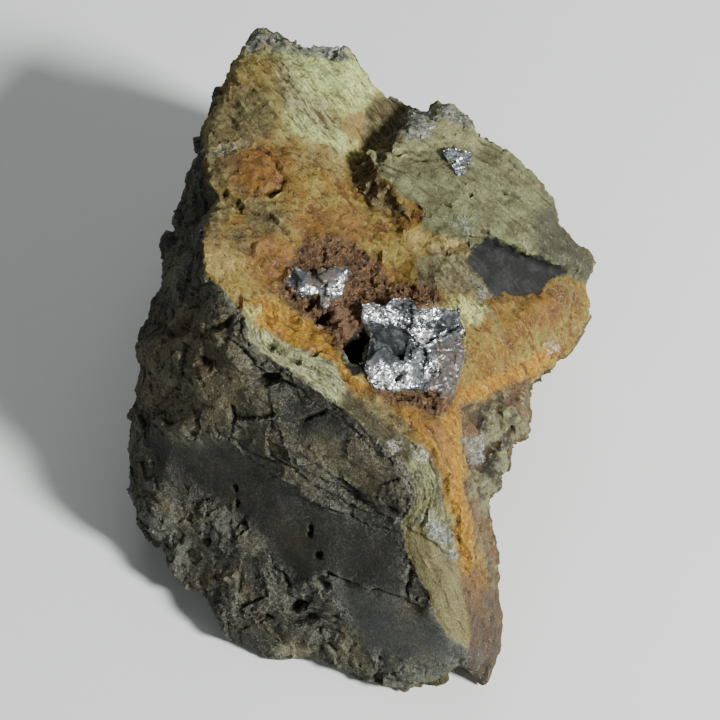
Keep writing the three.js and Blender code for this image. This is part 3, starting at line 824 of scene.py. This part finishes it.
# edges of the zones: mm inside the ring where the colour starts and is full, raggedness, strength;
# palePatch and resin are second edges of pale and rust
stoneEdges = {
    "pale": (-1.8, 1.8, 1.6, 1), "gold": (-1.8, 1.8, 1.6, 0.8), "silver": (-1.2, 1.2, 1.3, 0.75),
    "blush": (-0.9, 0.9, 0.8, 0.7), "upper": (-2.2, 2.2, 1.6, 1), "shadedRecess": (-0.7, 0.7, 0.4, 0.9),
    "yellow": (-1.3, 1.3, 1.3, 0.8), "brown": (-1.3, 1.3, 1.3, 0.85), "olive": (-1.0, 1.0, 1.2, 0.85),
    "band": (-0.6, 0.6, 0.8, 1), "palePatch": (-0.8, 0.8, 0.8, 0.7), "flank": (-0.8, 0.8, 1.0, 1),
    "toe": (-2.0, 2.0, 1.6, 1), "rust": (-2.0, 2.0, 1.6, 0.75), "slabPale": (-1.2, 1.2, 1.2, 0.6),
    "slabDark": (-1.2, 1.2, 1.2, 0.85), "slab": (-0.3, 0.3, 0.3, 1), "slabWall": (-0.6, 0.6, 0.5, 1),
    "selvageBrown": (-1.0, 1.0, 0.8, 0.92), "selvageOlive": (-1.0, 1.0, 0.8, 0.75),
    "selvage": (-0.4, 0.4, 0.4, 1), "tongue": (-0.8, 0.8, 0.6, 0.8), "gossan": (-1.1, 0.1, 0.9, 1),
    "cavity": (-0.3, 0.3, 0.3, 1), "brownSlate": (-3.0, 3.0, 2.0, 0.9), "greyPlane": (-1.6, 1.6, 0.8, 1),
    "facet": (-0.3, 0.3, 1.0, 1), "flake": (-0.6, 0.6, 0.7, 0.7), "mica": (-0.7, 0.7, 1.0, 1),
    "white": (-0.5, 0.5, 0.7, 1), "resin": (-1.2, 1.2, 1.4, 1),
}


def stoneFinish():
    paint = Paint("ironStainedSlate", stoneColours)
    blend, between, patches = paint.blend, paint.between, paint.patches
    place = paint.place()
    broad = paint.cloud(place, 9, 5, 0.6)
    middle = paint.cloud(place, 2.6, 5, 0.6)
    fine = paint.cloud(place, 0.8, 5, 0.65)
    grain = paint.cloud(place, 0.3, 3, 0.6)
    across = Vector(stone["cleavage"]).normalized()
    strike = across.cross((0, 0, 1)).normalized()
    turn = Matrix((strike, across.cross(strike), across)).transposed().to_euler()
    ripple = paint.cloud(paint.stretched(place, turn, (6, 1.3, 1)), 0.6, 4, 0.6)
    streaks = paint.cloud(paint.stretched(place, turn, (9, 9, 1)), 0.6, 4, 0.6)
    along = math.atan2(stone["fibres"][1], stone["fibres"][0])
    combed = paint.cloud(paint.stretched(place, (0, 0, along), (9, 1, 1)), 0.7, 4, 0.6)
    veil = paint.cloud(paint.stretched(place, turn, (3.5, 3.5, 1)), 2.6, 5, 0.6)
    ridge = paint.map("ridge")
    # hollows of the surface, where painted shade darkens the colour below
    hollowShade = between(paint.map("swell"), -0.04, -0.28)
    slateBy = paint.map("slate")
    run = paint.map("run")
    strip = paint.add("ShaderNodeCombineXYZ", {}, {0: slateBy + (middle - 0.5) * 0.8, 1: run * 0.06})
    fibres = paint.add("ShaderNodeTexNoise", {}, {"Vector": strip, "Scale": 2.2, "Detail": 5.0}, "Fac")
    rag = (broad - 0.5) * 2.0 + (middle - 0.5) * 2.2 + (fine - 0.5) * 1.6

    def zone(name, edge=""):  # where a zone's colour lies
        low, high, ragged, strength = stoneEdges[edge or name]
        return between(paint.map(name) + rag * ragged, low, high) * strength

    # vein crust
    base = blend(patches(broad, fine, 0.4, 0.4, 0.62), "ochre", "ochrePale")
    base.lay(patches(middle, streaks, 0.7, 0.5, 0.66), "ochreDeep")
    base.lay(patches(veil, grain, 0.3, 0.56, 0.68) * 0.7, "brownLight")
    # upper block
    upper = blend(between(middle, 0.42, 0.6), "upper", "upperGold")
    upper.lay(zone("pale"), "pale")
    upper.lay(zone("gold"), "upperGold")
    silver = blend(patches(combed, fine, 0.5, 0.46, 0.58), "silver", "brown")
    upper.lay(zone("silver"), silver)
    upper.lay(zone("blush"), "blush")
    upper.lay(patches(combed, grain, 0.15, 0.5, 0.64) * 0.4, "brown")
    base.lay(zone("upper"), upper)
    # the recess is painted darker brown, partly its own colour and partly a painted shadow of the slab
    shadedRecess = blend(between(combed, 0.46, 0.6), "shadedRecess", "brownShadow")
    base.lay(zone("shadedRecess"), shadedRecess)
    olive = blend(between(fine, 0.4, 0.6), "brown", "brownLight")
    base.lay(zone("yellow"), "yellow")
    base.lay(zone("brown"), olive)
    weathered = patches(fine, streaks, 0.8, 0.42, 0.62)
    weathered = blend(weathered, "oliveLight", "oliveDark")
    base.lay(zone("olive"), weathered)
    band = blend(patches(fine, fibres, 0.5, 0.42, 0.62), "band", "bandPale")
    band.lay(patches(fibres, middle, 0.6, 0.5, 0.64), "rust")
    band.lay(patches(middle, fibres, 0.6, 0.58, 0.7) * 0.7, "ochreDeep")
    base.lay(zone("band"), band)
    patch = blend(patches(combed, fine, 0.3, 0.36, 0.56), "selvageLow", "pale")
    base.lay(zone("pale", "palePatch"), patch)
    # flank and toe
    flank = blend(between(middle, 0.42, 0.6), "flank", "flankDark")
    flank.lay(patches(broad, fine, 0.5, 0.46, 0.6) * 0.8, "rustDark")
    # painted shade in the flank's hollows
    flank.lay(hollowShade * 0.8, "flankDark")
    base.lay(zone("flank"), flank)
    lengthwise = paint.cloud(paint.stretched(place, (0, 0, 0), (1, 7, 4)), 1.1, 4, 0.6)
    toe = blend(between(lengthwise, 0.44, 0.58), "toe", "toeLight")
    toe.lay(patches(fine, broad, 1, 0.5, 0.66) * 0.6, "toeDark")
    base.lay(zone("toe"), toe)
    rust = blend(patches(middle, fine, 0.6, 0.46, 0.62), "rust", "ochreDeep")
    rustMask = zone("rust")
    base.lay(rustMask, rust)
    # slab
    slab = blend(between(middle, 0.4, 0.62), "slab", "slabLight")
    slab.lay(zone("slabPale"), "slabPale")
    slab.lay(zone("slabDark"), "slabDark")
    slab.lay(patches(streaks, grain, 0.3, 0.54, 0.68) * 0.8, "slabDark")
    base.lay(zone("slab"), slab)
    wall = blend(between(streaks, 0.5, 0.62), "wall", "brown")
    base.lay(zone("slabWall"), wall)
    # pale strip along the slate
    selvage = blend(between(fibres, 0.4, 0.58), "selvageLow", "selvage")
    selvage.lay(patches(middle, fibres, 1, 0.53, 0.64) * 0.85, "selvageDark")
    lower = between(run + rag * 3, 36, 46)  # duller further down the strip
    selvage.lay(lower, "selvageDull", "MULTIPLY")
    selvage.lay(zone("selvageBrown"), "selvageBrown")
    lens = blend(patches(fibres, fine, 0.4, 0.48, 0.62), "selvageOlive", "brown")
    selvage.lay(zone("selvageOlive"), lens)
    base.lay(zone("selvage"), selvage)
    # painted shade in creases and hollows, and a painted highlight of pale along ridges
    base.lay(between(ridge, -0.02, -0.14) * 0.6, "brownShadow")
    base.lay(between(ridge, 0.04, 0.2) * 0.25 * (1 - rustMask), "pale")
    base.lay(hollowShade * 0.3, "brownShadow")
    gossan = blend(patches(fine, grain, 0.4, 0.46, 0.66), "gossan", "gossanLight")
    gossan.lay(zone("tongue"), "tongue")
    gossan.lay(between(ridge, -0.04, -0.18) * 0.5, "shadow")
    gossanMask = zone("gossan")
    base.lay(gossanMask, gossan)
    base.lay(zone("cavity"), "shadow")
    # slate
    plane = paint.map("plane")
    cloudy = patches(broad, fine, 0.5, 0.46, 0.66) * (1 - 0.75 * plane)
    slate = blend(plane, "slate", "slatePlane")
    slate.lay(cloudy, "slateGrey")
    slate.lay(zone("brownSlate"), "slateBrown")
    greyPlane = zone("greyPlane") * (0.65 + 0.5 * (fine - 0.5) + 0.6 * (ripple - 0.5))
    slate.lay(greyPlane, "slateGrey")
    slate.lay(between(veil, 0.5, 0.66) * 0.8 * (1 - 0.6 * plane), "slateBrown")
    gritty = between(fine * 0.6 + grain * 0.5 + (broad - 0.5) * 0.7, 0.48, 0.68)
    slate.lay(gritty * (0.4 - 0.32 * plane), "slateDustAndSheen")
    slate.lay(patches(ripple, grain, 0.5, 0.56, 0.74) * 0.3, "slateGrey")
    # ridges paler: partly dust on the edges, partly a painted highlight
    slate.lay(patches(ridge, fine, 0.2, 0.05, 0.22) * 0.22, "slateDustAndSheen")
    slate.lay(between(ridge, -0.02, -0.14) * 0.8, "shadow")
    blotchy = between(middle + (streaks - 0.5) * 0.7 + (grain - 0.5) * 0.4, 0.42, 0.66)
    facet = blend(blotchy * 0.35, "facet", "slateGrey")
    facetMask = zone("facet")
    base.lay(facetMask, facet)
    slateMask = between(slateBy + rag * 0.25, -0.2, 0.2)
    base.lay(slateMask, slate)
    base.lay(zone("flake"), "flake")
    # sides that the photograph hides
    side = between(paint.add("ShaderNodeSeparateXYZ", {}, {0: place}, "X") + rag * 0.004, 0.004, 0.02)
    stained = blend(between(broad, 0.45, 0.6), "hiddenVein", "brown")
    unseen = blend(side * between(middle + broad, 0.8, 1.1), slate, stained)
    unseenMask = between(paint.map("hidden") + (broad - 0.5) * 0.5 + (middle - 0.5) * 0.3, 0.55, 0.8)
    base.lay(unseenMask, unseen)
    # silvery mica and white grains
    mica = zone("mica") * patches(middle, fine, 0.6, 0.32, 0.48) * (1 - unseenMask)
    silvery = blend(patches(fine, grain, 0.6, 0.4, 0.64), "micaDark", "mica")
    base.lay(mica, silvery)
    white = zone("white") * patches(fine, grain, 0.6, 0.38, 0.58) * (1 - unseenMask)
    base.lay(white * 0.5, "white")

    speckle = 1 + (fine - 0.5) * 1.0 + (grain - 0.5) * 1.8
    base.lay(1 - 0.7 * facetMask, speckle, "MULTIPLY")
    # painted glints: pale specks with lower roughness, standing in for light caught by tiny crystals
    glints = patches(grain, middle, 0.4, 0.66, 0.74) * (1 - unseenMask)
    glints = glints * (1 - facetMask) * (1 - 0.6 * plane)
    base.lay(glints * 0.3, "glint")
    resin = zone("rust", "resin") * (1 - unseenMask)
    roughness = 0.82 - 0.1 * slateMask - 0.3 * mica - 0.3 * white - 0.16 * resin - 0.3 * glints
    roughness = roughness + (fine - 0.5) * 0.4
    coarse = 0.45 + 0.4 * slateMask * (1 - 0.4 * plane) + 0.4 * gossanMask
    relief = grain * 0.6 + fine * 0.8 + middle * 0.4 + streaks * 0.35
    relief = relief + ripple * (0.5 + 0.5 * plane) * slateMask + combed * 0.8 * zone("upper")
    relief = relief * coarse * (1 - 0.65 * facetMask)
    normal = paint.add("ShaderNodeBump", {}, {"Strength": 0.8, "Distance": 0.55 * mm, "Height": relief})
    paint.finish(Base_Color=base, Roughness=roughness, Metallic=mica * 0.3, Normal=normal)
    return paint.finish(Specular_IOR_Level=0.35)


# galena: cube cleavage in grains that lie at different turns
galena = {
    "nodes": {"galenaMass": "galena_mass", "galenaPatch": "galena_patch", "galenaGrains": "galena_grains"},
    "voxel": 0.19 * mm,
    "smoothing": 2,  # rounds
    "waver": [(1.0, 1.8)],  # as for the stone
    "grain": 3.4,  # mm across a crystal grain
    "lean": 0.08,  # how far grains tilt against each other
    "blocks": [(1.5, 0.09), (0.55, 0.08)],  # cleavage blocks: size and step, mm
    "lumps": (1.8, 0.14),  # size and height, mm
    "chips": (0.8, 0.18),
    "proud": {"galenaMass": 0.0, "galenaPatch": 0.05, "galenaGrains": -0.2},  # mm above the CAD solid
    "sunkRim": {"galenaMass": 0.3, "galenaPatch": 0.15, "galenaGrains": 0.2},  # mm that the edge dips
    "sharpAngle": 28,  # degrees
    "rimWidth": 1.4,  # mm over which the edge dips
    "crack": (0.5, 1.1),  # depth in mm, width in pixels
    "reach": (-0.9, 0.6),  # mm, lowest and highest of the relief
    "facetTurn": (0.72, 0.2, 0.5),  # the mean lean of the small facets; 0.5 is level
    "ridgeReach": 3,  # rounds, how wide a ridge or hollow is looked for
    "fades": {"calm": (-4, 4), "bright": (-3, 3), "stained": (-3, 4)},  # pixels inside the rings below
    "calm": [
        [(366, 328), (384, 323), (406, 328), (414, 342), (408, 358), (392, 366), (374, 368), (364, 354)],
        [(285, 282), (295, 268), (306, 277), (300, 291)],
        [(436, 320), (456, 312), (464, 330), (448, 334), (434, 333)],
    ],
    # rings where the metal is painted near white, a painted reflection of the lamps; the relief is more
    # chipped there
    "bright": [
        [(362, 304), (380, 303), (408, 318), (410, 330), (388, 322), (368, 324)],
        [(414, 318), (424, 308), (444, 305), (440, 318), (420, 328)],
        [(412, 330), (430, 328), (440, 340), (428, 348), (414, 342)],
        [(362, 374), (382, 364), (402, 368), (412, 380), (404, 390), (376, 389)],
        [(422, 366), (444, 356), (440, 372), (424, 378)],
        [(326, 290), (340, 282), (344, 294), (330, 300)],
        [(302, 290), (310, 282), (312, 292)],
    ],
    "stained": [
        [(430, 342), (462, 332), (468, 352), (464, 376), (452, 396), (434, 397), (426, 384), (438, 362)],
        [(396, 374), (406, 372), (408, 382), (398, 382)],
        [(306, 276), (322, 268), (342, 266), (340, 280), (324, 288), (306, 288)],
        [(314, 298), (328, 292), (336, 304), (322, 314)],
    ],
    "cracks": [
        [(411, 358), (412, 347), (426, 344), (434, 338), (446, 334), (458, 326)],
        [(384, 304), (388, 314), (404, 324)],
        [(411, 310), (412, 322), (408, 328)],
        [(424, 346), (427, 358), (424, 366)],
    ],
}


def growGalena(name, node):
    piece = denseCopy(name, [node], galena["voxel"])
    smoothed(piece, galena["smoothing"])
    mesh = piece.data
    places, normals = readMesh(mesh)
    millimetres = places / mm
    spots = toPhoto(places)
    rim = insideRings(spots, zones["galena"] + zones["grains"]) * photo["pixel"] / mm
    spots = wavered(spots, millimetres, galena["waver"])
    fades = galena["fades"].items()
    maps = {key: ease(insideRings(spots, galena[key]), *fade) for key, fade in fades}
    calm, bright = maps["calm"], maps["bright"]
    top = ease(normals[:, 2], 0.05, 0.5)
    rise = np.full(len(places), galena["proud"][name])
    rise -= galena["sunkRim"][name] * (1 - ease(rim, 0, galena["rimWidth"]))
    for i, p in enumerate(millimetres.tolist()):
        centre = noise.voronoi(Vector(p) / galena["grain"])[1][0]
        chance = cellChance(centre)
        aside = Vector(p) - centre * galena["grain"]
        rise[i] += aside.dot(chance) * galena["lean"]
        angle = math.pi * chance.z
        u = aside.x * math.cos(angle) + aside.y * math.sin(angle) + 0.2 * chance.x * aside.z
        v = aside.y * math.cos(angle) - aside.x * math.sin(angle) + 0.2 * chance.y * aside.z
        for size, step in galena["blocks"]:
            block = Vector((math.floor(u / size) + 0.5, math.floor(v / size * 0.8) + 0.5, 40 * chance.x))
            rise[i] += step * (noise.cell_vector(block).x - 0.5) * (1 - 0.8 * calm[i])
    size, height = galena["lumps"]
    rise += height * lumpy(millimetres / size + 4, 4, 0.7)
    size, height = galena["chips"]
    rise += height * chipped(millimetres / size + 13, 1.0) * (0.25 + 0.75 * bright) * (1 - 0.85 * calm)
    line = np.min([toSegment(spots, np.array(a, float), np.array(b, float))[0]
                   for crack in galena["cracks"] for a, b in zip(crack, crack[1:])], axis=0)
    depth, width = galena["crack"]
    rise -= depth * np.exp(-((line / width) ** 2))
    places += normals * (np.clip(rise, *galena["reach"]) * top)[:, None] * mm
    writePlaces(mesh, places)
    for key, values in maps.items():
        writeMap(mesh, key, values)
    writeMap(mesh, "ridge", sharpness(mesh, galena["ridgeReach"]))
    mesh.shade_smooth()
    mesh.set_sharp_from_angle(angle=math.radians(galena["sharpAngle"]))
    print(name, "grown,", triangles(mesh), "triangles")
    return piece


galenaColours = {
    "dull": (0.112, 0.121, 0.127),
    "metal": (0.46, 0.49, 0.50),
    "darkReflection": (0.086, 0.093, 0.096),
    "bright": (0.80, 0.81, 0.81),
    "stain": (0.135, 0.092, 0.054),
    "creviceShade": (0.030, 0.026, 0.022),
}


def galenaFinish():
    paint = Paint("galena", galenaColours)
    blend, between, patches = paint.blend, paint.between, paint.patches
    place = paint.place()
    tarnish = paint.cloud(place, 3.0, 5, 0.6)
    mottle = paint.cloud(place, 0.9, 5, 0.7)
    speck = paint.cloud(place, 0.3, 3, 0.6)
    calm = paint.map("calm")
    bright = paint.map("bright")
    stained = paint.map("stained")
    metal = blend(patches(mottle, tarnish, 0.8, 0.36, 0.64), "dull", "metal")
    # painted dark reflection: darker metal in the smooth calm stretches
    metal.lay(calm * (0.8 + (mottle - 0.5) * 1.4), "darkReflection")
    # painted reflection: near-white metal in the bright rings
    shine = bright * patches(mottle, speck, 0.9, 0.42, 0.56)
    metal.lay(shine, "bright")
    # painted glints: near-white specks of metal
    glints = patches(speck, mottle, 0.7, 0.65, 0.72) * (1 - 0.8 * calm)
    metal.lay(glints, "bright")
    metal.lay(stained * (0.8 + (mottle - 0.5) * 1.2), "dull")
    stain = stained * 0.6 + between(tarnish, 0.58, 0.7) * 0.4 * (1 - bright)
    stain = stain * patches(mottle, speck, 0.4, 0.34, 0.56)
    metal.lay(stain, "stain")
    # painted shade in the crevices of the galena
    metal.lay(between(paint.map("ridge"), -0.03, -0.12) * 0.7, "creviceShade")

    def vectors(operation, first, second, output=0):
        return paint.add("ShaderNodeVectorMath", {"operation": operation}, {0: first, 1: second}, output)

    def facets(size, slope):  # every cell leans its own way, most of them to the right and forwards
        cells = {"Vector": place, "Scale": 1 / (size * mm), "Randomness": 1.0}
        chance = paint.add("ShaderNodeTexVoronoi", {}, cells, "Color")
        middle = paint.add("ShaderNodeTexVoronoi", {}, cells, "Position")
        turned = vectors("SUBTRACT", chance, galena["facetTurn"])
        return vectors("DOT_PRODUCT", vectors("SUBTRACT", place, middle), turned, "Value") * slope

    height = facets(1.1, 0.24 + 0.9 * bright - 0.18 * calm - 0.14 * stained)
    height = height + facets(0.42, 0.3 + 0.7 * bright - 0.24 * calm - 0.18 * stained) + speck * 0.00005
    normal = paint.add("ShaderNodeBump", {}, {"Strength": 0.9, "Distance": 1.0, "Height": height})
    roughness = 0.22 + 0.12 * mottle + 0.3 * stain
    return paint.finish(Base_Color=metal, Roughness=roughness, Metallic=0.85 - 0.6 * stain, Normal=normal)


stonePiece = carveStone()
stonePiece.data.materials.clear()
stonePiece.data.materials.append(stoneFinish())
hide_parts("matrix")
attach(stonePiece, "root")

leadGrey = galenaFinish()
for name, node in galena["nodes"].items():
    body = growGalena(name, node)
    body.data.materials.clear()
    body.data.materials.append(leadGrey)
    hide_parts(node)
    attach(body, "root")
print("galena set in the vein")

# table and studio light
studio = {
    "floor": 3.0,  # metres across
    "floorColours": {"clean": (0.80, 0.84, 0.80), "worn": (0.776, 0.8148, 0.776)},
    "key": {"from": (0.75, -0.42, 0.62), "distance": 0.9, "size": 0.16, "power": 19},
    "fill": {"from": (-0.5, -0.7, 0.9), "distance": 1.2, "size": 1.0, "power": 1.1},
    "top": {"from": (0.15, 0.62, 0.85), "distance": 1.0, "size": 0.8, "power": 2.5},
    "sky": (0.80, 0.86, 0.92),
    "skyStrength": 0.1,
}


def addFloor():
    bm = bmesh.new()
    bmesh.ops.create_grid(bm, x_segments=1, y_segments=1, size=studio["floor"] / 2)
    mesh = bpy.data.meshes.new("floor")
    bm.to_mesh(mesh)
    bm.free()
    floor = bpy.data.objects.new("floor", mesh)
    bpy.context.scene.collection.objects.link(floor)
    paint = Paint("paleTable", studio["floorColours"])
    shade = paint.blend(paint.cloud(paint.place(), 30, 3, 0.5), "worn", "clean")
    mesh.materials.append(paint.finish(Base_Color=shade, Roughness=0.5))


def addLamp(name):
    lamp = studio[name]
    light = bpy.data.lights.new(name, "AREA")
    light.size = lamp["size"]
    light.energy = lamp["power"]
    towards = Vector(lamp["from"]).normalized()
    holder = bpy.data.objects.new(name, light)
    holder.location = Vector(photo["aim"]) + towards * lamp["distance"]
    holder.rotation_euler = (-towards).to_track_quat("-Z", "Y").to_euler()
    bpy.context.scene.collection.objects.link(holder)


addFloor()
for name in ("key", "fill", "top"):
    addLamp(name)
sky = bpy.data.worlds.new("sky")
bpy.context.scene.world = sky
sky.use_nodes = True
sky.node_tree.nodes["Background"].inputs["Color"].default_value = (*studio["sky"], 1)
sky.node_tree.nodes["Background"].inputs["Strength"].default_value = studio["skyStrength"]
print("studio lit")

bpy.context.view_layer.update()
